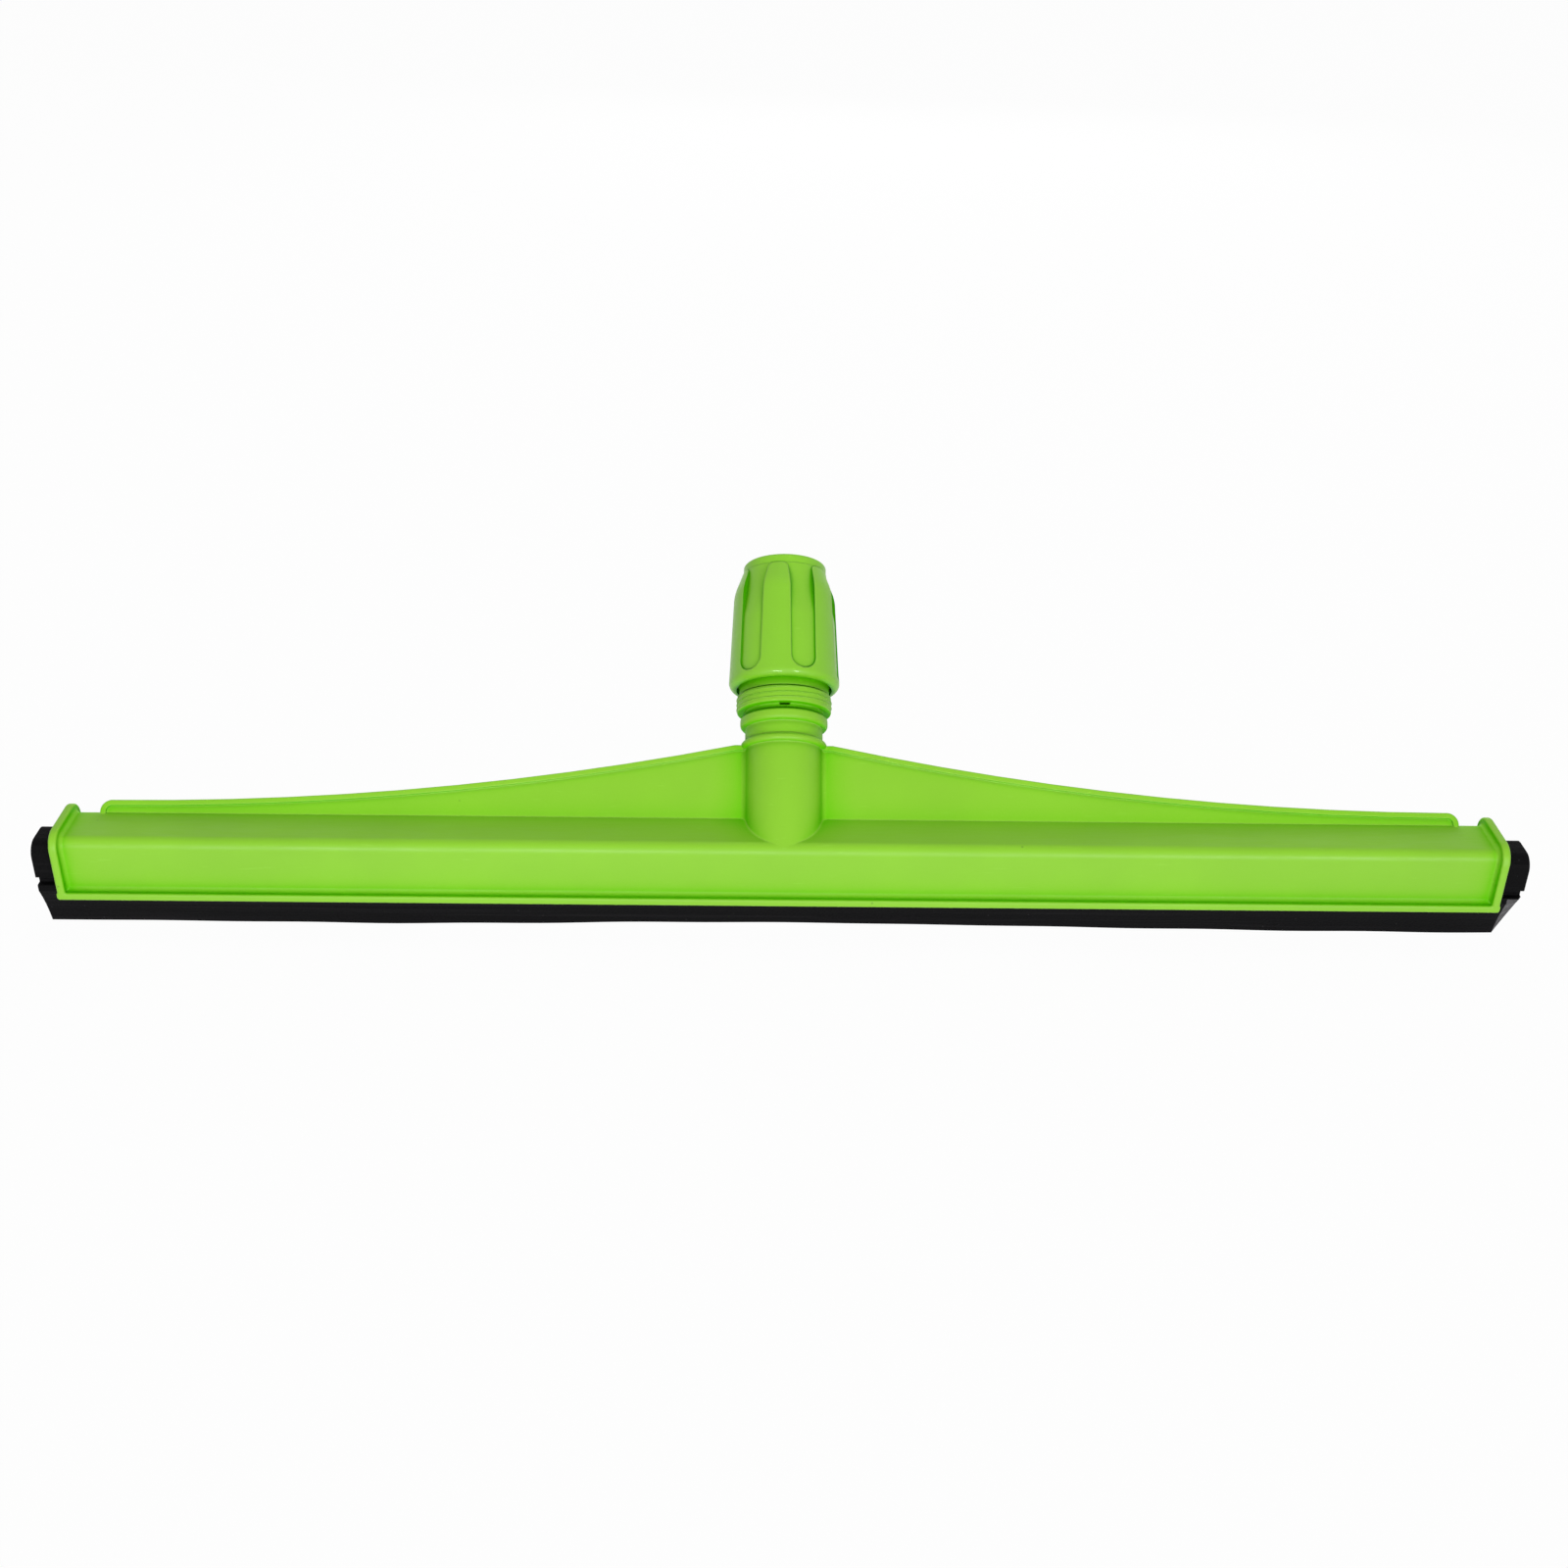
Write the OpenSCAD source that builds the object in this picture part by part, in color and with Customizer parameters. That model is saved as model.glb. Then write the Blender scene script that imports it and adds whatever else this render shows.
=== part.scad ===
// Floor squeegee head: a moulded channel with a leaning web and handle socket,
// a screw collar that closes the socket's collet, and a double-lipped foam rubber blade.
// The blade's edge is on Z = 0, X runs along the blade and the handle leans back towards +Y.

/* [Channel] */
// Length of the frame over its end flanges
frame_l = 532.6; // [300:0.2:800]
// Width of the channel over its front and rear walls
channel_w = 22.5; // [21.5:0.5:34]
// Height of the channel from its open bottom to its top
channel_h = 24.2; // [21:0.1:34]
// Thickness of the channel's walls
wall = 2.2; // [1.8:0.1:3]
// Thickness of the channel's top
roof = 3.7; // [3:0.1:5]
// Radius of the channel's upper outside edges
knee_r = 3.6; // [2:0.1:5]
// How far the end flanges and bottom lips stand proud of the channel
rim_h = 3.2; // [2.8:0.1:5]
// Thickness of the end flanges and bottom lips
rim_t = 3.1; // [2:0.1:5]
// Radius of the fillet where a flange or lip meets the channel
rim_fillet = 1.6; // [1:0.1:2.3]
// Radius on the outer edges of the flanges and lips
rim_edge = 1.1; // [0.3:0.1:1.4]
// Height of the recess below the inner ledges
ledge_rise = 3.2; // [2:0.1:4]
// Thickness of the inner ledges that hold the blade
ledge_t = 2.7; // [1.5:0.1:3.5]
// How far the inner ledges reach in from the walls
ledge_in = 2.8; // [2:0.1:4]

/* [Web] */
// Lean of the web and the handle socket, from upright
lean = 45; // [40:1:50]
// Thickness of the web
web_t = 3.6; // [2.5:0.1:5]
// Distance from the start of the rear knee back to the web's front face, level with the channel's top
web_set = 1.1; // [0.4:0.1:1.8]
// Distance from a flange's outer face to the end of the web
web_inset = 12.6; // [10:0.2:20]
// Height of the web at its ends, along its slope
web_end_h = 4.6; // [4.3:0.1:8]
// Radius of the hollow curve of the web's upper edge
web_sweep_r = 1120; // [1000:10:1250]
// Distance from the end of the web to where its upper edge starts to rise
web_flat = 6; // [5:0.5:25]
// Radius of the web's end corners
web_corner_r = 4.2; // [2.5:0.1:4.4]
// Width of the bead along the web's edge
web_bead_w = 2; // [1:0.1:2.2]
// How far the bead stands proud of each face of the web
web_bead_h = 0.8; // [0.3:0.1:1.5]
// Radius of the fillets where the web meets the socket's tube
web_fillet = 2.6; // [1.5:0.1:3.2]

/* [Socket] */
// Radius of the bore that takes the handle
bore_r = 12.25; // [11:0.05:12.5]
// Height of the bore's floor above the web's foot, along the slope
bore_floor = 8; // [7:0.5:14]
// Outside radius of the socket's lower tube
tube_r = 14.5; // [14.1:0.1:15]
// Height of the ring where the web's bead runs round the tube
ring_s = 26.9; // [24:0.1:30]
// Height of that ring along the tube
ring_h = 2.8; // [2:0.1:3.5]
// Outside radius of that ring
ring_r = 16.3; // [15.6:0.1:17]
// Length of the plain neck above the ring
neck_h = 5.3; // [3:0.1:8]
// Radius of the neck
neck_r = 14.7; // [14.3:0.1:15.2]
// Height of the bead above the neck
bead_h = 4.1; // [3:0.1:6]
// Outside radius of that bead
bead_r = 16.6; // [15.8:0.1:17.2]
// Height of the groove between the bead and the thread
groove_h = 2.3; // [1.7:0.1:3]
// Radius of the groove
groove_r = 15; // [14.3:0.1:15.4]
// Length of the threaded stretch
thread_h = 19; // [16:0.5:22]
// Outside radius of the thread
thread_r = 17.9; // [17.5:0.1:18]
// Height of the thread's lowest ring, up to the relief above it
thread_ring_h = 6.2; // [4:0.1:7]
// Radius of the relief above that ring
relief_r = 17.1; // [16.8:0.1:17.3]
// Width of the small window in the groove
window_w = 3.8; // [2:0.1:6]
// Height of that window below the thread
window_h = 0.7; // [0.6:0.1:1.5]

/* [Collet] */
// Number of collet fingers
finger_count = 4; // [4:1:4]
// Length of the collet fingers
finger_l = 30.5; // [24:0.5:32]
// Wall of the collet fingers at their roots
finger_t = 2.2; // [1.5:0.1:2.2]
// Width of the slits between the fingers
slit_w = 3; // [2.4:0.1:5]
// Clearance round the handle inside the fingers
finger_play = 0.1; // [0.05:0.05:0.2]
// Gap at the root of each finger, where it flexes
root_gap = 0.3; // [0.2:0.05:0.4]

/* [Collar] */
// Length of the collar
collar_l = 50.1; // [47:0.1:56]
// Length of thread that shows below the collar
thread_shown = 9.2; // [8:0.1:11]
// Largest outside radius of the collar, near its base
collar_r = 21.2; // [21.15:0.05:23]
// Outside radius of the collar's grip pads at their upper end
pad_top_r = 19.5; // [18.8:0.1:20]
// Outside radius of the collar's mouth
mouth_r = 15.9; // [15.6:0.1:16.4]
// Clearance between the handle's bore and the collar's mouth
mouth_play = 0.5; // [0.3:0.1:0.8]
// Length of the plain mouth above the grip pads
mouth_h = 3.6; // [2.5:0.1:5]
// Length of the slope from the pads to the mouth
shoulder_h = 8.6; // [6:0.1:10]
// Radius of the collar's bottom edge
collar_edge_r = 2.8; // [1:0.1:2.9]
// Number of grip flutes
flute_count = 6; // [6:1:6]
// Width of each flute
flute_w = 9.8; // [7:0.1:10.5]
// Depth of a flute over its straight stretch
flute_depth = 0.7; // [0.4:0.1:0.9]
// Distance from the collar's bottom edge to the end of a flute
flute_foot = 3.2; // [3:0.1:6]
// Distance below the mouth at which a flute starts to deepen
flute_run = 20; // [17:0.5:24]
// Turn of the grip pads about the axis
collar_turn = 50; // [0:1:59]
// Clearance between the thread and the collar
thread_play = 0.3; // [0.25:0.05:0.4]

/* [Blade] */
// Length of the rubber blade
blade_l = 551.6; // [320:0.2:840]
// Distance of the blade's middle to the right of the frame's
blade_shift = 0.6; // [-4:0.1:4]
// Height of the blade below the frame
blade_drop = 16.8; // [12:0.1:24]
// Clearance of the blade in the channel
blade_fit = 0.3; // [0.2:0.05:0.5]
// Radius of the blade's upper edges
blade_top_r = 5.5; // [2:0.1:6]
// Distance from the blade's middle to the outer face of each lip at its edge
lip_reach = 2.2; // [1.8:0.1:4]
// Radius of the hollow outer face of each lip
lip_sweep_r = 70; // [45:1:120]
// Width of the slot between the two lips
slot_w = 1.6; // [1:0.1:2.4]
// Height of the slot between the two lips
slot_h = 13; // [8:0.5:14]
// Angle of the slanting cut across the lips at the right-hand end
trim_angle = 35; // [20:1:45]
// Distance of that cut from the blade's end, at the edge of the front lip
trim_in = 5.3; // [3:0.1:9]
// Backward slope of that cut down to the edge
trim_slope = 20; // [5:1:25]

/* [Hidden] */
$fn = 96;
fingers = [1:finger_count];
green = "#8bd034";
leaf_green = "#7ec72c";
black = "#1b1b1c";
// Overlap that joins two solids of one piece
join = 1;
// Depth to which a fillet runs into the face that it blends with
blend = 0.03;
// Oversize of a cutting shape beyond what it cuts
over = 2;
// Shortest straight left between two roundings
least_flat = 0.05;

frame_z = blade_drop;
top_z = frame_z + channel_h;
ledge_z = frame_z + ledge_rise;
inner_w = channel_w - 2 * wall;
ledge_gap = inner_w - 2 * ledge_in;
knee_y = channel_w / 2 - knee_r;
knee_z = top_z - knee_r;
block_w = inner_w - 2 * blade_fit;
cavity_r = blade_top_r + blade_fit;
foot_edge_r = 1.5;
// The uprights' lower edges are rounded a little more than the lips', which run on over them
upright_edge_r = rim_edge + 0.2;
rim_inner_edge = 0.8;

// Foot of the web, on its middle plane, which holds the socket's axis
foot_y = knee_y + web_set + web_t / 2 * cos(lean);
foot_z = top_z - web_t / 2 * sin(lean);
// The tube's lower end, level with the point where the front knee runs along the socket's axis
knee_touch_y = -knee_y - knee_r * cos(lean);
knee_touch_z = knee_z + knee_r * sin(lean);
tube_foot = (knee_touch_y - foot_y) * sin(lean) + (knee_touch_z - foot_z) * cos(lean);

web_half = frame_l / 2 - web_inset;
web_rise_x = web_half - web_flat;
web_top = ring_s + ring_h / 2;
web_sink = roof;

neck_s = ring_s + ring_h;
bead_s = neck_s + neck_h;
groove_s = bead_s + bead_h;
thread_s = groove_s + groove_h;
root_s = thread_s + thread_h;
ring_edge = ring_h / 2 - least_flat;
bead_edge = 0.9;
bead_low_edge = 1.7;
thread_edge = 0.4;
relief_s = thread_s + thread_ring_h;
relief_h = 5;
crease_h = 0.5;
crease_r = 16.4;
thread_end_h = 1.6;
root_h = 0.8;
window_sink = 0.3;

finger_in = bore_r + finger_play;
finger_out = finger_in + finger_t;
finger_s = root_s + root_gap;
finger_top = finger_s + finger_l;
finger_step = 360 / finger_count;

collar_s = thread_s + thread_shown;
collar_top = collar_s + collar_l;
collar_bore_r = thread_r + thread_play;
collar_mouth_r = bore_r + mouth_play;
pad_top_s = collar_top - mouth_h - shoulder_h;
shoulder_s = collar_top - mouth_h;
pad_step = 0.4;
pad_corner_r = 2;
flute_skin = 0.1;
flute_foot_r = flute_w / 2 - least_flat;
mouth_edge_r = 1;
pad_bend_r = 18;
// The cone inside the collar starts above the thread and ends beyond the fingers' tips
cone_gap = 6;
cone_end = 3;
cone_s = root_s + cone_gap;
cone_top = finger_top + cone_end;
cone_play = 0.35;

bead_half = block_w / 2 - blade_fit;
blade_neck = ledge_gap / 2 - blade_fit;
block_z = ledge_z + ledge_t + blade_fit;
blade_bead_z = ledge_z - blade_fit;
blade_bead_cover = 0.4;
blade_bead_low = frame_z + blade_bead_cover;

// Unit vector from point a to point b
function towards(a, b) = (b - a) / norm(b - a);
// Turn of the path a, p, b at p: positive where it turns left
function turn_at(a, p, b) = cross(p - a, b - p);
// Distance from a corner to where its rounding of radius r starts
function setback(a, p, b, r) =
    let (half = acos(min(1, max(-1, towards(p, a) * towards(p, b)))) / 2)
    r / tan(half);
// Centre of the rounding of radius r at corner p
function round_centre(a, p, b, r) =
    let (mid = towards(p, a) + towards(p, b))
    let (half = acos(min(1, max(-1, towards(p, a) * towards(p, b)))) / 2)
    p + mid / norm(mid) * r / sin(half);

// Outline through corners [x, y, radius], in anticlockwise order, with each corner rounded by a true arc
module rounded_outline(corners) {
    n = len(corners);
    at = [for (c = corners) [c[0], c[1]]];
    starts = [for (i = [0:n - 1]) let (a = at[(i + n - 1) % n], p = at[i], b = at[(i + 1) % n])
        p + towards(p, a) * setback(a, p, b, corners[i][2])];
    ends = [for (i = [0:n - 1]) let (a = at[(i + n - 1) % n], p = at[i], b = at[(i + 1) % n])
        p + towards(p, b) * setback(a, p, b, corners[i][2])];
    cut = [for (i = [0:n - 1]) each corners[i][2] > 0 ? [starts[i], ends[i]] : [at[i]]];
    difference() {
        union() {
            polygon(cut);
            for (i = [0:n - 1])
                if (corners[i][2] > 0 && turn_at(at[(i + n - 1) % n], at[i], at[(i + 1) % n]) > 0)
                    corner_sector(
                        at[(i + n - 1) % n], at[i], at[(i + 1) % n], starts[i], ends[i], corners[i][2]
                    );
        }
        for (i = [0:n - 1])
            if (corners[i][2] > 0 && turn_at(at[(i + n - 1) % n], at[i], at[(i + 1) % n]) < 0)
                corner_sector(
                    at[(i + n - 1) % n], at[i], at[(i + 1) % n], starts[i], ends[i], corners[i][2]
                );
    }
}

// The part of a corner's triangle that lies within its rounding circle
module corner_sector(a, p, b, from, to, r) {
    intersection() {
        polygon([from, p, to]);
        translate(round_centre(a, p, b, r)) circle(r);
    }
}

// Extrudes a cross-section drawn in Y and Z along X, centred on the middle of the frame
module along_x(length) {
    rotate([90, 0, 90])
        linear_extrude(length, center = true) children();
}

// Places children in the socket's frame: Z out of its mouth, the web in the plane of X and Z
module on_socket() {
    translate([0, foot_y, foot_z])
        rotate([-lean, 0, 0]) children();
}

// Extrudes an outline drawn in the web's plane to a plate of the given thickness
module web_plate(thickness) {
    rotate([90, 0, 0])
        linear_extrude(thickness, center = true) children();
}

// Corners of a half outline, mirrored to the other side in reverse order
function mirrored(corners) =
    [for (i = [len(corners) - 1:-1:0]) [-corners[i][0], corners[i][1], corners[i][2]]];

// Outside of the channel's cross-section, with its bottom lips
module channel_outline() {
    half = channel_w / 2;
    lip_top = frame_z + rim_t;
    right = [
        [half + rim_h, frame_z, rim_edge],
        [half + rim_h, lip_top, rim_inner_edge],
        [half, lip_top, rim_fillet],
        [half, top_z, knee_r],
    ];
    rounded_outline(concat(right, mirrored(right)));
}

// Space inside the channel that takes the blade, with the ledges standing into it
module blade_space() {
    ledge_edge = 0.4;
    right = [
        [inner_w / 2, frame_z - over, 0],
        [inner_w / 2, ledge_z, ledge_edge],
        [ledge_gap / 2, ledge_z, ledge_edge],
        [ledge_gap / 2, ledge_z + ledge_t, ledge_edge],
        [inner_w / 2, ledge_z + ledge_t, ledge_edge],
        [inner_w / 2, top_z - roof, cavity_r],
    ];
    rounded_outline(concat(right, mirrored(right)));
}

// Profile of an end flange: distance in from the frame's end, and radius from the knee's centre line
module flange_profile() {
    rim_r = knee_r + rim_h;
    root = knee_r - join;
    foot = knee_r - blend;
    rounded_outline([
        [0, root, 0],
        [rim_t + rim_fillet + join, root, 0],
        [rim_t + rim_fillet + join, foot, 0],
        [rim_t, foot, rim_fillet],
        [rim_t, rim_r, rim_inner_edge],
        [0, rim_r, rim_edge],
    ]);
}

// Waste outside an edge of radius r: the edge runs through the origin, with the solid above and to the right
module edge_waste(r, length) {
    linear_extrude(length, center = true)
        difference() {
            translate([-over, -over]) square(r + over);
            translate([r, r]) circle(r);
        }
}

// One upright of an end flange, from the bottom lip to the knee
module upright() {
    difference() {
        translate([0, knee_y, frame_z])
            linear_extrude(knee_z - frame_z) flange_profile();
        translate([0, channel_w / 2 + rim_h, frame_z])
            rotate([90, 0, -90]) edge_waste(upright_edge_r, channel_w);
    }
}

// End flange at the left-hand end: two uprights, a top and the rounded corners between them
module end_flange() {
    translate([-frame_l / 2, 0, 0])
        for (side = [0, 1]) mirror([0, side, 0]) {
            upright();
            translate([0, knee_y, knee_z])
                rotate([0, 90, 0]) rotate([0, 0, 90]) rotate_extrude(angle = 90)
                    rotate(90) mirror([0, 1, 0]) flange_profile();
            translate([0, knee_y, knee_z])
                rotate([90, 0, 0]) linear_extrude(knee_y) flange_profile();
        }
}

// Rounds the lower edge of the frame's left-hand end
module end_edge_cutter() {
    translate([-frame_l / 2, 0, frame_z])
        rotate([90, 0, 0]) edge_waste(foot_edge_r, channel_w + 2 * rim_h + over);
}

// Half of the web's outline, shrunk all round by the given margin
module web_half_outline(margin) {
    end_x = web_half - margin;
    end_h = web_end_h - margin;
    corner = web_corner_r - margin;
    difference() {
        translate([-join, -web_sink])
            square([web_rise_x + join, web_top - margin + web_sink]);
        translate([web_rise_x, web_end_h + web_sweep_r])
            circle(web_sweep_r + margin, $fn = 360);
    }
    translate([web_rise_x - join, 0])
        rounded_outline([
            [0, -web_sink, 0],
            [end_x - web_rise_x + join, -web_sink, 0],
            [end_x - web_rise_x + join, end_h, corner],
            [0, end_h, 0],
        ]);
}

module web_outline(margin) {
    for (side = [0, 1])
        mirror([side, 0]) web_half_outline(margin);
}

// Fillet between the tube and one face of the web, drawn across the socket and sunk a little into both
module web_fillet_outline() {
    tube_in = tube_r - blend;
    face_in = web_t / 2 - blend;
    centre_y = face_in + web_fillet;
    centre_r = tube_in + web_fillet;
    centre = [sqrt(centre_r * centre_r - centre_y * centre_y), centre_y];
    on_tube = centre * tube_in / centre_r;
    difference() {
        polygon([centre, on_tube, [on_tube[0] - join, face_in - join], [centre[0], face_in]]);
        translate(centre) circle(web_fillet);
    }
}

module web() {
    web_plate(web_t) web_outline(0);
    for (side = [0, 1], face = [0, 1])
        mirror([side, 0, 0]) mirror([0, face, 0])
            translate([0, 0, -web_sink])
                linear_extrude(web_sink + ring_s + join) web_fillet_outline();
    web_plate(web_t + 2 * web_bead_h)
        difference() {
            web_outline(0);
            web_outline(web_bead_w);
        }
}

// Outside of the socket tube: ring, neck, bead, groove, thread and collet root
module tube_profile() {
    rounded_outline([
        [0, tube_foot, 0],
        [tube_r, tube_foot, 0],
        [tube_r, ring_s, 0],
        [ring_r, ring_s, ring_edge],
        [ring_r, neck_s, ring_edge],
        [neck_r, neck_s, 0],
        [neck_r, bead_s, 0],
        [bead_r, bead_s, bead_low_edge],
        [bead_r, groove_s, bead_edge],
        [groove_r, groove_s, 0],
        [groove_r, thread_s, 0],
        [thread_r, thread_s, thread_edge],
        [thread_r, relief_s, thread_edge],
        [crease_r, relief_s, 0],
        [crease_r, relief_s + crease_h, 0],
        [relief_r, relief_s + crease_h, 0],
        [relief_r, relief_s + relief_h, 0],
        [thread_r, relief_s + relief_h, 0],
        [thread_r, root_s - root_h - thread_end_h, 0],
        [finger_out, root_s - root_h, 0],
        [finger_out, root_s, 0],
        [0, root_s, 0],
    ]);
}

module frame() {
    color(green) difference() {
        union() {
            along_x(frame_l) channel_outline();
            for (side = [0, 1])
                mirror([side, 0, 0]) end_flange();
            on_socket() {
                web();
                rotate_extrude() tube_profile();
            }
        }
        along_x(frame_l + over) blade_space();
        for (side = [0, 1])
            mirror([side, 0, 0]) end_edge_cutter();
        on_socket() {
            translate([0, 0, bore_floor])
                cylinder(r = bore_r, h = root_s - bore_floor + over);
            translate([-window_w / 2, -bead_r, thread_s - window_h])
                cube([window_w, bead_r - bore_r + over, window_h + window_sink]);
        }
    }
}

// Outer radius of the grip pads at height s along the socket
function pad_r(s) = collar_r + (pad_top_r - collar_r) * (s - collar_s) / (pad_top_s - collar_s);
// Radius of the collar's inner cone at height s
function cone_r(s) =
    collar_bore_r + (collar_mouth_r + cone_play - collar_bore_r) * (s - cone_s) / (cone_top - cone_s);

// Section of the collar through its grip pads
module collar_profile() {
    rounded_outline([
        [collar_bore_r, collar_s, 0],
        [pad_r(collar_s), collar_s, collar_edge_r],
        [pad_r(pad_top_s), pad_top_s, pad_bend_r],
        [mouth_r + pad_step, shoulder_s, 0],
        [mouth_r, shoulder_s, 0],
        [mouth_r, collar_top, mouth_edge_r],
        [collar_mouth_r, collar_top, mouth_edge_r],
        [collar_mouth_r, cone_top, 0],
        [collar_bore_r, cone_s, 0],
    ]);
}

// Space outside the flutes' floors: parallel to the pads below, drawing in to the mouth above
module flute_space() {
    floor_s = collar_top - flute_run - mouth_h;
    rotate_extrude()
        rounded_outline([
            [pad_r(collar_s) - flute_depth, collar_s, 0],
            [collar_r + over, collar_s, 0],
            [collar_r + over, collar_top + over, 0],
            [mouth_r + flute_skin, collar_top + over, 0],
            [mouth_r + flute_skin, shoulder_s, pad_bend_r],
            [pad_r(floor_s) - flute_depth, floor_s, pad_bend_r],
        ]);
}

// Outline of a flute from the front: round at its foot, and opening round the pads' upper corners
module flute_outline() {
    half = flute_w / 2;
    flare = half + pad_corner_r;
    rounded_outline([
        [half, collar_s + flute_foot, flute_foot_r],
        [half, shoulder_s, pad_corner_r],
        [flare, shoulder_s, 0],
        [flare, collar_top + over, 0],
        [-flare, collar_top + over, 0],
        [-flare, shoulder_s, 0],
        [-half, shoulder_s, pad_corner_r],
        [-half, collar_s + flute_foot, flute_foot_r],
    ]);
}

module collar() {
    color(leaf_green) on_socket() {
        difference() {
            rotate_extrude() collar_profile();
            for (i = [0:flute_count - 1])
                rotate(collar_turn + (i + 0.5) * 360 / flute_count)
                    intersection() {
                        flute_space();
                        rotate([90, 0, 0]) linear_extrude(collar_r + over) flute_outline();
                    }
        }
    }
}

// Collet finger: one sector of a sleeve whose tip tapers to seat in the collar's cone
module collet_finger(i) {
    bend_s = cone_s + (cone_top - cone_s) * (collar_bore_r - finger_out - cone_play)
        / (collar_bore_r - collar_mouth_r - cone_play);
    tip_r = cone_r(finger_top) - cone_play;
    reach = finger_out + over;
    color(green) on_socket()
        rotate(finger_step * (i - 1))
            difference() {
                rotate_extrude()
                    polygon([
                        [finger_in, finger_s],
                        [finger_out, finger_s],
                        [finger_out, bend_s],
                        [tip_r, finger_top],
                        [finger_in, finger_top],
                    ]);
                for (side = [0, 1])
                    mirror([side, 0, 0]) rotate(finger_step / 2)
                        translate([-reach, -reach, finger_s - over])
                            cube([reach + slit_w / 2, 2 * reach, finger_l + 2 * over]);
            }
}

// Half section of the blade: block in the channel, neck between the ledges, bead and tapering lip
module blade_section() {
    edge = 0.5;
    right = [
        [lip_reach, 0, 0],
        [bead_half, blade_bead_low, edge],
        [bead_half, blade_bead_z, edge],
        [blade_neck, blade_bead_z, edge],
        [blade_neck, block_z, edge],
        [block_w / 2, block_z, edge],
        [block_w / 2, top_z - roof - blade_fit, blade_top_r],
    ];
    low = [lip_reach, 0];
    high = [bead_half, blade_bead_low];
    chord = norm(high - low);
    along = towards(low, high);
    out = [along[1], -along[0]];
    sweep_at = (low + high) / 2 + out * sqrt(lip_sweep_r * lip_sweep_r - chord * chord / 4);
    difference() {
        rounded_outline(concat(right, mirrored(right)));
        for (side = [0, 1])
            mirror([side, 0]) translate(sweep_at) circle(lip_sweep_r, $fn = 180);
        translate([-slot_w / 2, -over]) square([slot_w, slot_h - slot_w / 2 + over]);
        translate([0, slot_h - slot_w / 2]) circle(slot_w / 2);
    }
}

module rubber_blade() {
    trim_size = 3 * channel_w;
    trim_top = (blade_bead_z + block_z) / 2 / cos(trim_slope);
    color(black) translate([blade_shift, 0, 0]) difference() {
        along_x(blade_l) blade_section();
        translate([blade_l / 2 - trim_in, -lip_reach, 0])
            rotate([0, trim_slope, -trim_angle])
                translate([0, -trim_size / 2, trim_top - trim_size])
                    cube(trim_size);
    }
}

frame();
collar();
for (i = fingers)
    collet_finger(i);
rubber_blade();
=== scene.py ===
"""Looks, studio and camera of a floor squeegee head: green plastic frame and collar, black rubber blade."""
import math

import bpy
from mathutils import Matrix, Vector


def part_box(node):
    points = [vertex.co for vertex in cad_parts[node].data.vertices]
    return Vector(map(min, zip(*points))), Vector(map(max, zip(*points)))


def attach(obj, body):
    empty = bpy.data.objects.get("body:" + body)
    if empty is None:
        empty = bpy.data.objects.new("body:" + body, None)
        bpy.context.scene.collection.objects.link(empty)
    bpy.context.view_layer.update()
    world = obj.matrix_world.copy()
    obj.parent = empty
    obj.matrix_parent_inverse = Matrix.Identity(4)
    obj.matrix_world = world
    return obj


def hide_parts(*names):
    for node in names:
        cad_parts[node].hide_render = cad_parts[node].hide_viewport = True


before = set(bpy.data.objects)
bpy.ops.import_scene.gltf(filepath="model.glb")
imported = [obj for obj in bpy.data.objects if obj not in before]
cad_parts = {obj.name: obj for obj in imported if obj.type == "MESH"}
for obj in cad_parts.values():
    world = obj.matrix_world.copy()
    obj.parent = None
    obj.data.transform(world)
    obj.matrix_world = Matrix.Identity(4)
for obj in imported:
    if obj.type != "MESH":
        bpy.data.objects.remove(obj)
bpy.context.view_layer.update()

MM = 0.001

# Places on the part that the scene's own pieces fit, in metres
lean = math.radians(45)
socket_foot = Vector((0, 10.0228, 39.7272)) * MM
socket_axis = Vector((0, math.sin(lean), math.cos(lean)))
lip_root_z = 16.5 * MM
bead_top_z = 19.2 * MM


# Small tools

def linear(hex_colour):
    """sRGB hex to the linear colour that shaders take."""
    parts = [int(hex_colour[i:i + 2], 16) / 255 for i in (0, 2, 4)]
    return [c / 12.92 if c <= 0.04045 else ((c + 0.055) / 1.055) ** 2.4 for c in parts] + [1]


def add(nodes, kind, feeds=None, **settings):
    """Adds one shader node; a feed is either a value for a socket or the output that goes into it."""
    node = nodes.new("ShaderNode" + kind)
    for name, value in settings.items():
        setattr(node, name, value)
    for socket, value in (feeds or {}).items():
        if isinstance(value, bpy.types.NodeSocket):
            nodes.id_data.links.new(value, node.inputs[socket])
        else:
            node.inputs[socket].default_value = value
    return node


def new_material(name):
    """An empty material, its nodes and its shader."""
    material = bpy.data.materials.new(name)
    material.use_nodes = True
    nodes = material.node_tree.nodes
    return material, nodes, nodes["Principled BSDF"]


def pick(obj):
    """Leaves this one object selected and active."""
    bpy.ops.object.select_all(action="DESELECT")
    obj.select_set(True)
    bpy.context.view_layer.objects.active = obj


def finish_piece(obj, body):
    """Puts the place into the mesh and ties the piece to the body that carries it."""
    pick(obj)
    bpy.ops.object.transform_apply(location=True, rotation=True, scale=True)
    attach(obj, body)


# Materials

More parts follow.
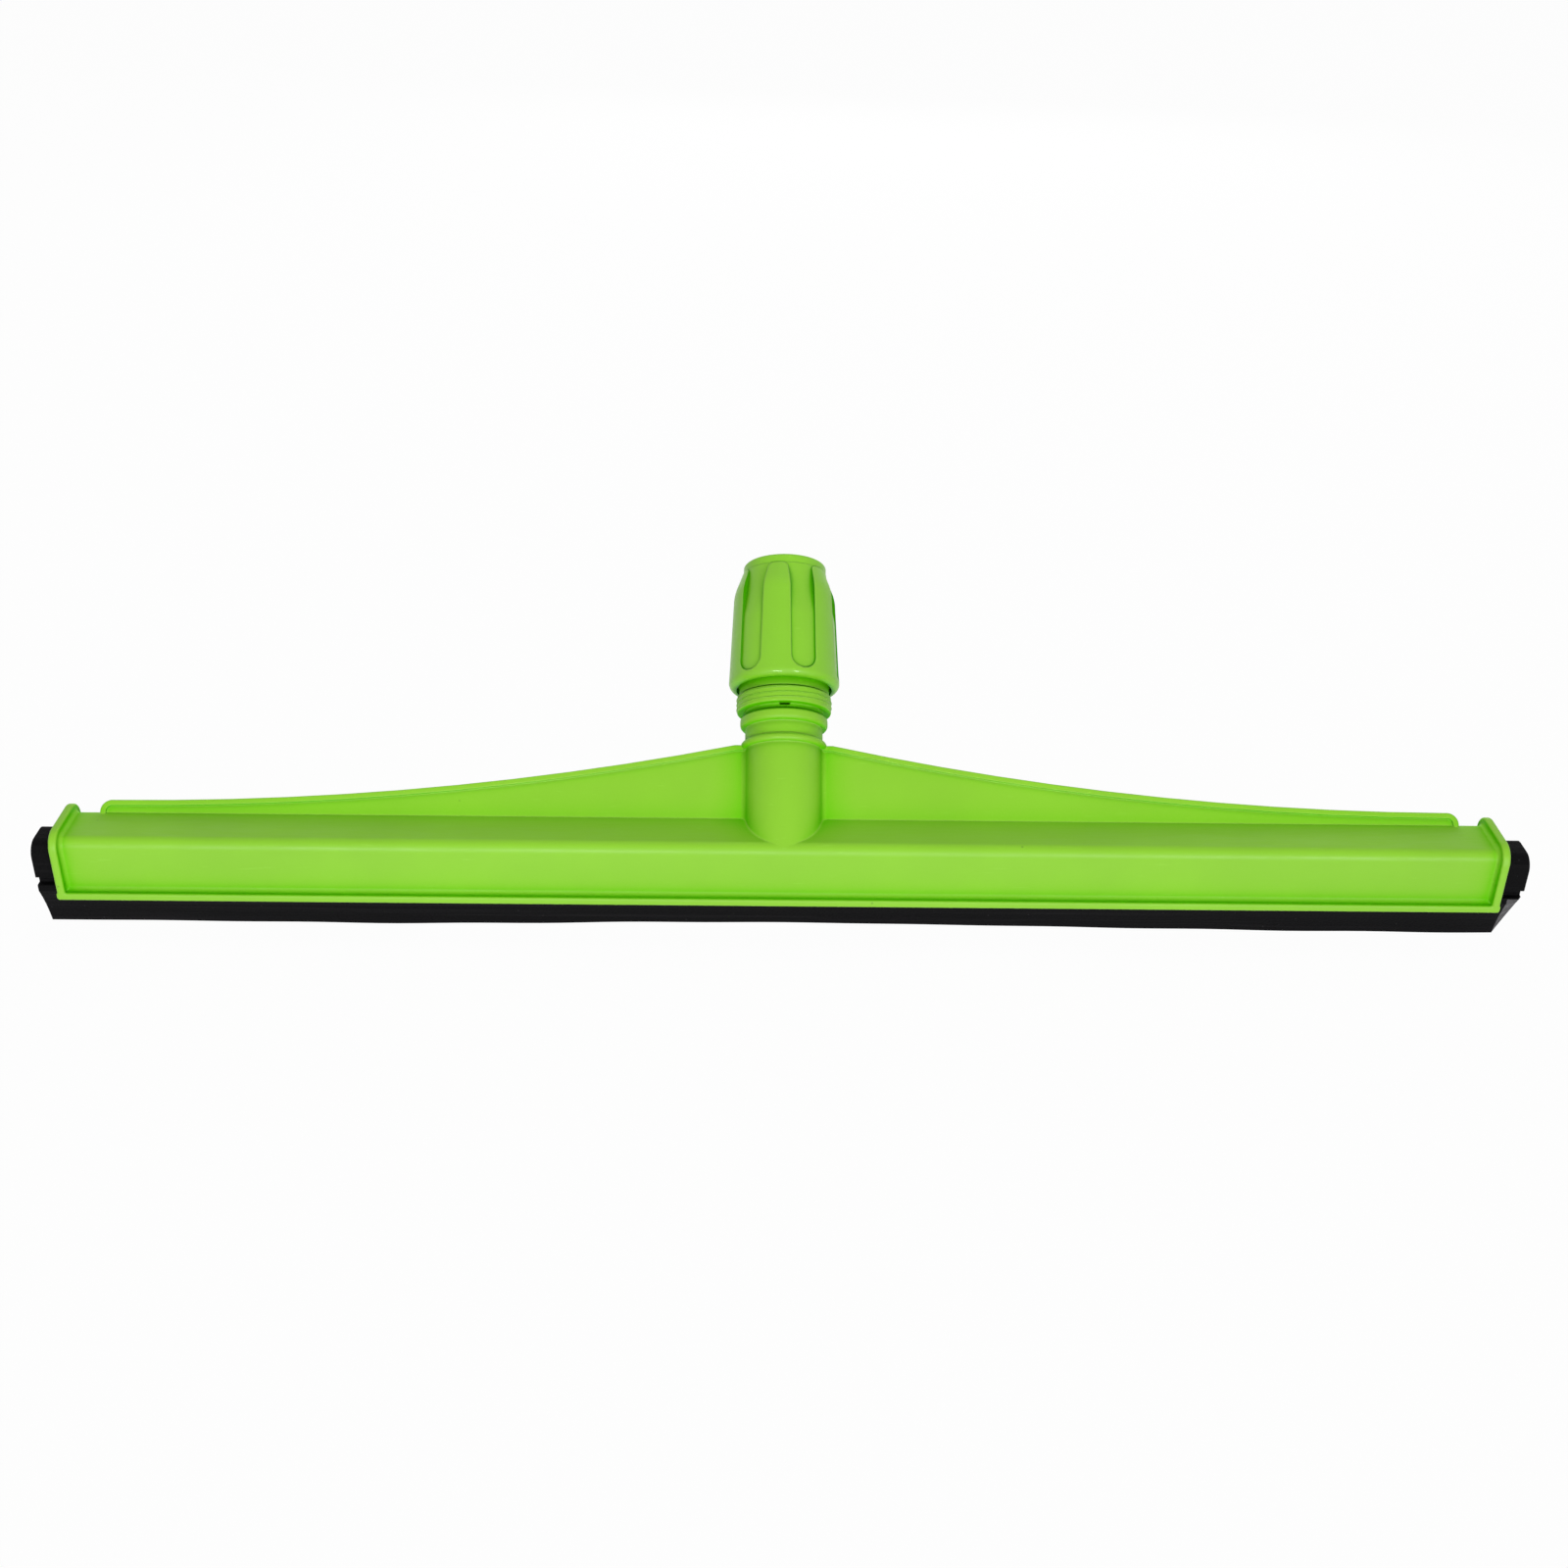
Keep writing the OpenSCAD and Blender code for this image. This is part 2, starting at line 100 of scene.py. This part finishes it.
def dusted(nodes, place, colour, dust, cell, picked, core, rim, cover):
    """Lays grains of dust on a colour: one in each picked cell, full in its core and gone at its rim."""
    cells = add(nodes, "TexVoronoi", {"Vector": place, "Scale": 1 / cell})
    draw = add(nodes, "SeparateColor", {"Color": cells.outputs["Color"]})
    chosen = add(nodes, "Math", {0: draw.outputs["Red"], 1: 1 - picked}, operation="GREATER_THAN")
    near = add(nodes, "MapRange", {"Value": cells.outputs["Distance"], "From Min": rim / cell,
                                   "From Max": core / cell, "To Min": 0.0, "To Max": cover})
    grain = add(nodes, "Math", {0: chosen.outputs["Value"], 1: near.outputs["Result"]}, operation="MULTIPLY")
    result = add(nodes, "Mix", {"Factor": grain.outputs["Value"], "A": colour, "B": linear(dust)},
                 data_type="RGBA")
    return result.outputs["Result"]


def moulded_polypropylene(name, resin, worn, corner_shade_colour, low_step, roughness, gloss, polish):
    """Polypropylene from an etched tool: satin, paler on rubbed edges (partly wear, partly a painted
    highlight), with painted shade in its corners: a deeper green and less gloss.
    """
    material, nodes, shader = new_material(name)
    place = add(nodes, "TexCoord").outputs["Object"]
    # The melt leaves slow drifts of colour, about 45 mm across
    drift = add(nodes, "TexNoise", {"Vector": place, "Scale": 1 / (45 * MM), "Detail": 3.0})
    tone = add(nodes, "MapRange", {"Value": drift.outputs["Fac"], "From Min": 0.3, "From Max": 0.7,
                                   "To Min": 0.96, "To Max": 1.04})
    resin_colour = add(nodes, "HueSaturation", {"Color": linear(resin), "Value": tone.outputs["Result"]})
    # Edges look rounded by about 0.8 mm, and turn paler there: partly wear where they rub, partly a painted
    # highlight along the rounding
    rounded = add(nodes, "Bevel", {"Radius": 0.8 * MM}, samples=4)
    facing = add(nodes, "NewGeometry").outputs["Normal"]
    along = add(nodes, "VectorMath", {0: rounded.outputs["Normal"], 1: facing}, operation="DOT_PRODUCT")
    rubbed_and_highlit = add(nodes, "MapRange", {"Value": along.outputs["Value"], "From Min": 0.98, "From Max": 0.75,
                                     "To Min": 0.0, "To Max": 0.9})
    worn_and_highlit_edge = add(nodes, "Mix", {"Factor": rubbed_and_highlit.outputs["Result"], "A": resin_colour.outputs["Color"],
                                     "B": linear(worn)}, data_type="RGBA")
    # Long shallow scuffs from handling, about 12 mm long and 1 mm wide, paler and duller
    turned = add(nodes, "Mapping", {"Vector": place, "Rotation": (0.4, 0.2, 0.5), "Scale": (80, 900, 900)})
    scuff = add(nodes, "TexNoise", {"Vector": turned.outputs["Vector"], "Scale": 1.0, "Detail": 2.0})
    paler = add(nodes, "MapRange", {"Value": scuff.outputs["Fac"], "From Min": 0.67, "From Max": 0.85,
                                    "To Min": 0.0, "To Max": 0.3})
    scuffed = add(nodes, "Mix", {"Factor": paler.outputs["Result"], "A": worn_and_highlit_edge.outputs["Result"],
                                 "B": linear(worn)}, data_type="RGBA")
    # Painted shade: within about 14 mm of a corner the colour is mixed toward a deeper green, standing in
    # for light that has bounced from wall to wall;
    # a low step, such as the foot of the web's bead, gets none of it
    open_wide = add(nodes, "AmbientOcclusion", {"Distance": 14 * MM}, samples=8)
    open_near = add(nodes, "AmbientOcclusion", {"Distance": low_step}, samples=8)
    open_past = add(nodes, "Math", {0: open_wide.outputs["AO"], 1: open_near.outputs["AO"]},
                    operation="DIVIDE")
    painted_shade = add(nodes, "MapRange", {"Value": open_past.outputs["Value"], "From Min": 0.95, "From Max": 0.6,
                                   "To Min": 0.0, "To Max": 1.0})
    shaded_in_corners = add(nodes, "Mix", {"Factor": painted_shade.outputs["Result"], "A": scuffed.outputs["Result"],
                                       "B": linear(corner_shade_colour)}, data_type="RGBA")
    # A few dark grains of dust, about half a millimetre across
    colour = dusted(nodes, place, shaded_in_corners.outputs["Result"], dust="4F7A22", cell=11 * MM,
                    picked=0.1, core=0.275 * MM, rim=0.55 * MM, cover=0.45)
    # Scuffed places are duller
    dull = add(nodes, "MapRange", {"Value": scuff.outputs["Fac"], "From Min": 0.35, "From Max": 0.75,
                                   "To Min": roughness - 0.05, "To Max": roughness + 0.07})
    # The wall sinks a little as it cools, over about 20 mm
    sink = add(nodes, "TexNoise", {"Vector": place, "Scale": 1 / (20 * MM), "Detail": 1.0})
    softly = add(nodes, "Bump", {"Height": sink.outputs["Fac"], "Strength": 0.12, "Distance": 0.5 * MM,
                                 "Normal": rounded.outputs["Normal"]})
    # Etched tool texture is about 0.1 mm; drawn at 0.7 mm so that the render can show it
    etch = add(nodes, "TexNoise", {"Vector": place, "Scale": 1 / (0.7 * MM), "Detail": 2.0})
    relief = add(nodes, "Bump", {"Height": etch.outputs["Fac"], "Strength": 0.1, "Distance": 0.1 * MM,
                                 "Normal": softly.outputs["Normal"]})
    # Painted shade on the gloss: the specular level drops where the corner shade is painted, so nothing
    # bright is mirrored there
    gloss_shaded_in_corners = add(nodes, "MapRange", {"Value": painted_shade.outputs["Result"], "From Max": 0.4,
                                    "To Min": gloss, "To Max": 0.03})
    links = material.node_tree.links
    links.new(colour, shader.inputs["Base Color"])
    links.new(dull.outputs["Result"], shader.inputs["Roughness"])
    links.new(relief.outputs["Normal"], shader.inputs["Normal"])
    links.new(gloss_shaded_in_corners.outputs["Result"], shader.inputs["Specular IOR Level"])
    shader.inputs["IOR"].default_value = 1.49
    # The plain level also stands on the socket itself, for anything that can't follow the
    # link. The plain level is for an export that can't follow the link
    shader.inputs["Specular IOR Level"].default_value = gloss
    # A polished tool leaves a thin bright skin
    shader.inputs["Coat Weight"].default_value = polish
    shader.inputs["Coat Roughness"].default_value = 0.16
    return material


def foam_rubber(name, skin, highlight_grey, pore_size, pore_depth, roughness):
    """Cellular rubber: matt, with fine pores whose rims are painted lighter, a painted highlight."""
    material, nodes, shader = new_material(name)
    place = add(nodes, "TexCoord").outputs["Object"]
    cells = add(nodes, "TexVoronoi", {"Vector": place, "Scale": 1 / pore_size})
    pit = add(nodes, "MapRange", {"Value": cells.outputs["Distance"], "From Min": 0.15, "From Max": 0.6,
                                  "To Min": 0.0, "To Max": 1.0})
    # The painted highlight on the rims shows in patches about 14 mm across
    patch = add(nodes, "TexNoise", {"Vector": place, "Scale": 1 / (14 * MM), "Detail": 4.0})
    rim_highlight_patches = add(nodes, "MapRange", {"Value": patch.outputs["Fac"], "From Min": 0.3, "From Max": 0.7,
                                     "To Min": 0.0, "To Max": 0.35})
    painted_rim_highlight = add(nodes, "Math", {0: pit.outputs["Result"], 1: rim_highlight_patches.outputs["Result"]}, operation="MULTIPLY")
    rim_highlit = add(nodes, "Mix", {"Factor": painted_rim_highlight.outputs["Value"], "A": linear(skin), "B": linear(highlight_grey)},
                data_type="RGBA")
    # The extruder's die leaves faint lines along the length, about 1.2 mm apart; their relief is real, and
    # their lighter colour is a painted sheen
    drawn = add(nodes, "Mapping", {"Vector": place, "Scale": (6, 830, 830)})
    lines = add(nodes, "TexNoise", {"Vector": drawn.outputs["Vector"], "Scale": 1.0, "Detail": 2.0})
    streak_sheen = add(nodes, "MapRange", {"Value": lines.outputs["Fac"], "From Min": 0.5, "From Max": 0.8,
                                     "To Min": 0.0, "To Max": 0.8})
    with_streak_sheen = add(nodes, "Mix", {"Factor": streak_sheen.outputs["Result"], "A": rim_highlit.outputs["Result"],
                                  "B": linear(highlight_grey)}, data_type="RGBA")
    # Pale dust, about a third of a millimetre across
    colour = dusted(nodes, place, with_streak_sheen.outputs["Result"], dust="4A494B", cell=3 * MM,
                    picked=0.2, core=0.12 * MM, rim=0.3 * MM, cover=0.5)
    # Lines and pores are in the relief too, and the patches are a little duller or smoother
    swell = add(nodes, "Bump", {"Height": lines.outputs["Fac"], "Strength": 0.35, "Distance": 0.2 * MM})
    pores = add(nodes, "Bump", {"Height": pit.outputs["Result"], "Strength": pore_depth,
                                "Distance": 0.3 * MM, "Normal": swell.outputs["Normal"]})
    worn = add(nodes, "MapRange", {"Value": patch.outputs["Fac"], "From Min": 0.3, "From Max": 0.7,
                                   "To Min": roughness - 0.06, "To Max": roughness + 0.06})
    links = material.node_tree.links
    links.new(colour, shader.inputs["Base Color"])
    links.new(worn.outputs["Result"], shader.inputs["Roughness"])
    links.new(pores.outputs["Normal"], shader.inputs["Normal"])
    shader.inputs["IOR"].default_value = 1.5
    shader.inputs["Specular IOR Level"].default_value = 0.06
    return material


# Pieces

def tear_trimmed_edge(blade, right_end):
    """Breaks the front edge of the slanted cut at the right-hand end, where the knife tore the skin."""
    tear, trim_in = 2 * MM, 5.4 * MM
    cut_zone_x, front_zone_y = right_end - 30 * MM, -2 * MM
    bpy.ops.object.mode_set(mode="EDIT")
    bpy.ops.mesh.select_mode(type="EDGE")
    bpy.ops.mesh.select_all(action="DESELECT")
    bpy.ops.object.mode_set(mode="OBJECT")
    sides = {}
    for face in blade.data.polygons:
        for key in face.edge_keys:
            sides.setdefault(key, []).append(face.normal.copy())
    for edge in blade.data.edges:
        start, end = (blade.data.vertices[i].co for i in edge.vertices)
        middle = (start + end) / 2
        normals = sides[edge.key]
        cut = any(n.x > 0.5 for n in normals) and any(n.y < -0.7 for n in normals)
        on_front = middle.x > cut_zone_x and middle.y < front_zone_y and middle.z < bead_top_z
        edge.select = cut and on_front
    bpy.ops.object.mode_set(mode="EDIT")
    bpy.ops.mesh.bevel(offset=tear, segments=1, affect="EDGES")
    bpy.ops.object.mode_set(mode="OBJECT")
    # The front skin ends on one upright line, so the tear is widest at the top and runs out at the edge
    skin = set()
    for face in blade.data.polygons:
        if face.normal.y < -0.7 and abs(face.normal.x) < 0.1:
            skin.update(face.vertices)
    for v in blade.data.vertices:
        if v.select and v.index in skin:
            v.co.x = right_end - trim_in
    bpy.ops.object.mode_set(mode="EDIT")
    bpy.ops.mesh.select_all(action="SELECT")
    bpy.ops.mesh.normals_make_consistent(inside=False)
    bpy.ops.object.mode_set(mode="OBJECT")


def bow_lips(blade):
    """Gives the soft lips their set: bowed up along the middle, and slightly wavy all along."""
    bow_middle, bow_reach, bow_rise = 15 * MM, 170 * MM, 1.7 * MM
    for v in blade.data.vertices:
        # None at the lips' roots, full at their free edges
        slack = max(0, 1 - v.co.z / lip_root_z)
        front = -1 if v.co.y < 0 else 1
        sway = 0.25 * math.sin(v.co.x / (31 * MM)) + 0.15 * math.sin(v.co.x / (9 * MM) + front)
        ripple = 0.08 + 0.07 * math.sin(v.co.x / (11 * MM))
        off_bow = min(1, abs(v.co.x - bow_middle) / bow_reach)
        bow = bow_rise * math.cos(off_bow * math.pi / 2) ** 2
        v.co.y += slack * front * sway * MM
        v.co.z += slack * (bow + ripple * MM)


def foam_blade(skin, cut_face):
    """The double-lipped blade: the CAD section with a hand-cut, slightly wavy edge and sliced ends."""
    sections = 72
    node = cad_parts["rubber_blade"]
    blade = bpy.data.objects.new("foam_blade", node.data.copy())
    bpy.context.scene.collection.objects.link(blade)
    pick(blade)
    bpy.ops.mesh.customdata_custom_splitnormals_clear()
    bpy.ops.object.mode_set(mode="EDIT")
    bpy.ops.mesh.select_all(action="SELECT")
    bpy.ops.mesh.remove_doubles(threshold=0.002 * MM)
    bpy.ops.mesh.dissolve_limited(angle_limit=math.radians(0.5))
    low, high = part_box("rubber_blade")
    for i in range(1, sections):
        section_x = low.x + (high.x - low.x) * i / sections
        bpy.ops.mesh.select_all(action="SELECT")
        bpy.ops.mesh.bisect(plane_co=(section_x, 0, 0), plane_no=(1, 0, 0))
    bpy.ops.object.mode_set(mode="OBJECT")
    tear_trimmed_edge(blade, high.x)
    bow_lips(blade)
    blade.data.materials.clear()
    blade.data.materials.append(skin)
    blade.data.materials.append(cut_face)
    # The knife's cuts face along the length
    for face in blade.data.polygons:
        face.material_index = 1 if abs(face.normal.x) > 0.2 else 0
    bpy.ops.object.shade_smooth_by_angle(angle=math.radians(35))
    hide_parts("rubber_blade")
    finish_piece(blade, "rubber_blade")


def screw_thread(resin):
    """The fine thread on the socket's ring that shows under the collar."""
    ring_start, ring_end = 41.9 * MM, 47.3 * MM
    ring_r, pitch, crest = 17.85 * MM, 1.9 * MM, 0.32 * MM
    turns, steps = 3, 96
    run_out, run_out_depth = 0.6 * pitch, 0.5 * MM
    bpy.ops.object.select_all(action="DESELECT")
    bpy.ops.mesh.primitive_circle_add(vertices=4, radius=crest, fill_type="NGON",
                                      location=(ring_r, 0, 0), rotation=(math.radians(90), 0, 0))
    thread = bpy.context.active_object
    thread.name = "screw_thread"
    bpy.ops.object.transform_apply(location=True, rotation=True, scale=True)
    bpy.ops.object.mode_set(mode="EDIT")
    bpy.ops.mesh.select_all(action="SELECT")
    bpy.ops.mesh.delete(type="ONLY_FACE")
    bpy.ops.object.mode_set(mode="OBJECT")
    winding = thread.modifiers.new("winding", "SCREW")
    winding.axis = "Z"
    winding.angle = math.tau
    winding.iterations = turns
    winding.screw_offset = pitch
    winding.steps = winding.render_steps = steps
    bpy.ops.object.modifier_apply(modifier="winding")
    bpy.ops.object.mode_set(mode="EDIT")
    bpy.ops.mesh.select_all(action="SELECT")
    bpy.ops.mesh.remove_doubles(threshold=0.002 * MM)
    bpy.ops.mesh.fill_holes(sides=0)
    bpy.ops.mesh.normals_make_consistent(inside=False)
    bpy.ops.object.mode_set(mode="OBJECT")
    # Both ends of the thread run out into the ring
    length = turns * pitch
    for v in thread.data.vertices:
        from_end = min(v.co.z + crest, length + crest - v.co.z) / run_out
        sunk = max(0, 1 - from_end) * run_out_depth
        out = Vector((v.co.x, v.co.y, 0)).normalized()
        v.co -= out * sunk
    thread.rotation_euler = (-lean, 0, 0)
    thread.location = socket_foot + socket_axis * ((ring_start + ring_end - length) / 2)
    thread.data.materials.append(resin)
    bpy.ops.object.shade_smooth_by_angle(angle=math.radians(50))
    finish_piece(thread, "frame")


# Studio

def shows_background(nodes):
    """One for a ray that shows the background: seen straight, mirrored or through glass."""
    path = add(nodes, "LightPath")
    seen = path.outputs["Is Camera Ray"]
    for ray in ("Is Glossy Ray", "Is Transmission Ray"):
        seen = add(nodes, "Math", {0: seen, 1: path.outputs[ray]}, operation="MAXIMUM").outputs["Value"]
    return seen


def studio_floor():
    """A pale paper floor: white to the eye, and it still takes a soft shadow."""
    floor_size, drop, white_share = 24, 0.3 * MM, 0.975
    bpy.ops.object.select_all(action="DESELECT")
    bpy.ops.mesh.primitive_plane_add(size=floor_size, location=(0, 0, -drop))
    floor = bpy.context.active_object
    floor.name = "studio_floor"
    material, nodes, shader = new_material("white_paper_floor")
    nodes.remove(shader)
    matt = add(nodes, "BsdfDiffuse", {"Color": linear("C8C8C8")})
    white = add(nodes, "Emission", {"Color": (1, 1, 1, 1), "Strength": 1.0})
    bright = add(nodes, "MixShader", {0: white_share, 1: matt.outputs[0], 2: white.outputs[0]})
    paper = add(nodes, "MixShader", {0: shows_background(nodes), 1: matt.outputs[0], 2: bright.outputs[0]})
    material.node_tree.links.new(paper.outputs[0], nodes["Material Output"].inputs["Surface"])
    floor.data.materials.append(material)


def white_world(level):
    """Even light from all round; a ray that shows the background sees white."""
    world = bpy.data.worlds.new("white_room")
    bpy.context.scene.world = world
    world.use_nodes = True
    nodes = world.node_tree.nodes
    strength = add(nodes, "MapRange", {"Value": shows_background(nodes), "To Min": level, "To Max": 1.0})
    backdrop = nodes["Background"]
    backdrop.inputs["Color"].default_value = (1, 1, 1, 1)
    world.node_tree.links.new(strength.outputs["Result"], backdrop.inputs["Strength"])


def softbox(name, place, width, height, watts, in_gloss):
    """A rectangular soft lamp that points at the head; one out of the gloss leaves no reflection."""
    head_middle = Vector((0, 0, 0.05))
    lamp = bpy.data.lights.new(name, "AREA")
    lamp.shape = "RECTANGLE"
    lamp.size, lamp.size_y, lamp.energy = width, height, watts
    holder = bpy.data.objects.new(name, lamp)
    bpy.context.scene.collection.objects.link(holder)
    holder.location = place
    aim = head_middle - Vector(place)
    holder.rotation_euler = aim.to_track_quat("-Z", "Y").to_euler()
    holder.visible_glossy = in_gloss


def photo_camera():
    """The camera of the photograph: 30 degrees above the floor, close in front."""
    target = Vector((-0.49, -14.25, 69.39)) * MM
    distance, rise, yaw, roll = 0.663, math.radians(30.05), math.radians(-1.08), math.radians(1.12)
    photo_width_px, focal_px, sensor_mm = 1600, 1903, 36
    lens = bpy.data.cameras.new("photo_camera")
    lens.sensor_width, lens.lens = sensor_mm, sensor_mm * focal_px / photo_width_px
    lens.clip_start, lens.clip_end = 0.01, 100
    camera = bpy.data.objects.new("photo_camera", lens)
    bpy.context.scene.collection.objects.link(camera)
    tilt = Matrix.Rotation(math.radians(90) - rise, 4, "X")
    turn = Matrix.Rotation(yaw, 4, "Z") @ tilt @ Matrix.Rotation(roll, 4, "Z")
    camera.matrix_world = Matrix.Translation(target + turn.to_3x3() @ Vector((0, 0, distance))) @ turn
    bpy.context.scene.camera = camera


# The whole picture

bpy.context.scene.view_settings.view_transform = "Standard"
photo_camera()
studio_floor()
white_world(level=0.16)
softbox("left_softbox", (-0.27, -1.1, 0.1), 0.3, 0.18, watts=6, in_gloss=True)
softbox("right_softbox", (0.8, -1.9, 0.14), 0.36, 0.26, watts=15.5, in_gloss=True)
softbox("top_softbox", (0.1, 0.2, 1.5), 0.9, 0.7, watts=9, in_gloss=False)
softbox("back_softbox", (0.2, 1.6, 0.5), 0.9, 0.6, watts=10, in_gloss=False)

# The corner colours below are painted shade; the worn colour is both the wear on rubbed edges and a painted
# highlight along them
satin_green = moulded_polypropylene(
    "satin_moulded_polypropylene", resin="8BCC2B", worn="A9E45A", corner_shade_colour="5CC400",
    low_step=1.2 * MM, roughness=0.5, gloss=0.5, polish=0.0)
polished_green = moulded_polypropylene(
    "polished_moulded_polypropylene", resin="88CC28", worn="A9E45A", corner_shade_colour="46A800",
    low_step=0.1 * MM, roughness=0.5, gloss=0.4, polish=0.3)
# The lighter greys below are a painted highlight on the pore rims and a painted sheen on the die lines
rubber_skin = foam_rubber(
    "extruded_foam_rubber_skin", skin="050506", highlight_grey="1C1B1D",
    pore_size=0.9 * MM, pore_depth=0.25, roughness=0.72)
sliced_rubber = foam_rubber(
    "sliced_foam_rubber", skin="5C5B5D", highlight_grey="8E8D8F",
    pore_size=0.8 * MM, pore_depth=0.6, roughness=0.8)

for node in ("frame", "collet_finger_1", "collet_finger_2", "collet_finger_3", "collet_finger_4"):
    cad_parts[node].material_slots[0].material = satin_green
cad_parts["collar"].material_slots[0].material = polished_green
foam_blade(rubber_skin, sliced_rubber)
screw_thread(satin_green)
